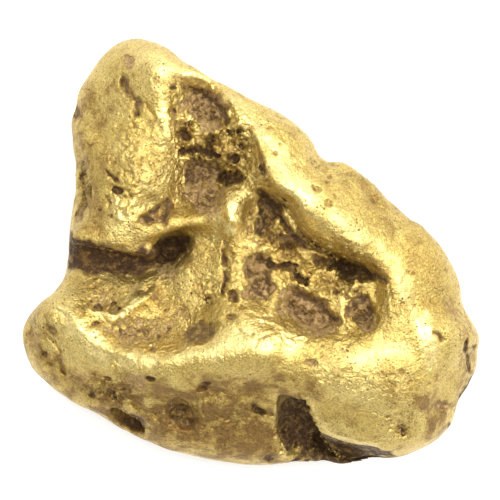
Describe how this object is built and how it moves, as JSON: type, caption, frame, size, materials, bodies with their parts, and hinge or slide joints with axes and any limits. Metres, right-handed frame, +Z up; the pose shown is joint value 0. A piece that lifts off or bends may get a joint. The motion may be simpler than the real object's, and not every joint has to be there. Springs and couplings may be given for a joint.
{
  "type": "gold nugget",
  "caption": "Water-worn natural gold nugget with a raised head, two ridges around a pitted valley, and a cave in its lower flank.",
  "frame": {"origin": "on the surface that the nugget rests on, under the middle of its bounding box", "axes": "+Z up, the pitted face is on top; +X along the nugget's length, from its toe to its thick end; +Y across it, towards its raised head"},
  "size_m": [0.0322, 0.0302, 0.0158],
  "materials": {
    "native_gold": "satin, water-worn, with brown iron stain in the hollows"
  },
  "bodies": {
    "root": {"gold_nugget": "native_gold"}
  },
  "joints": []
}
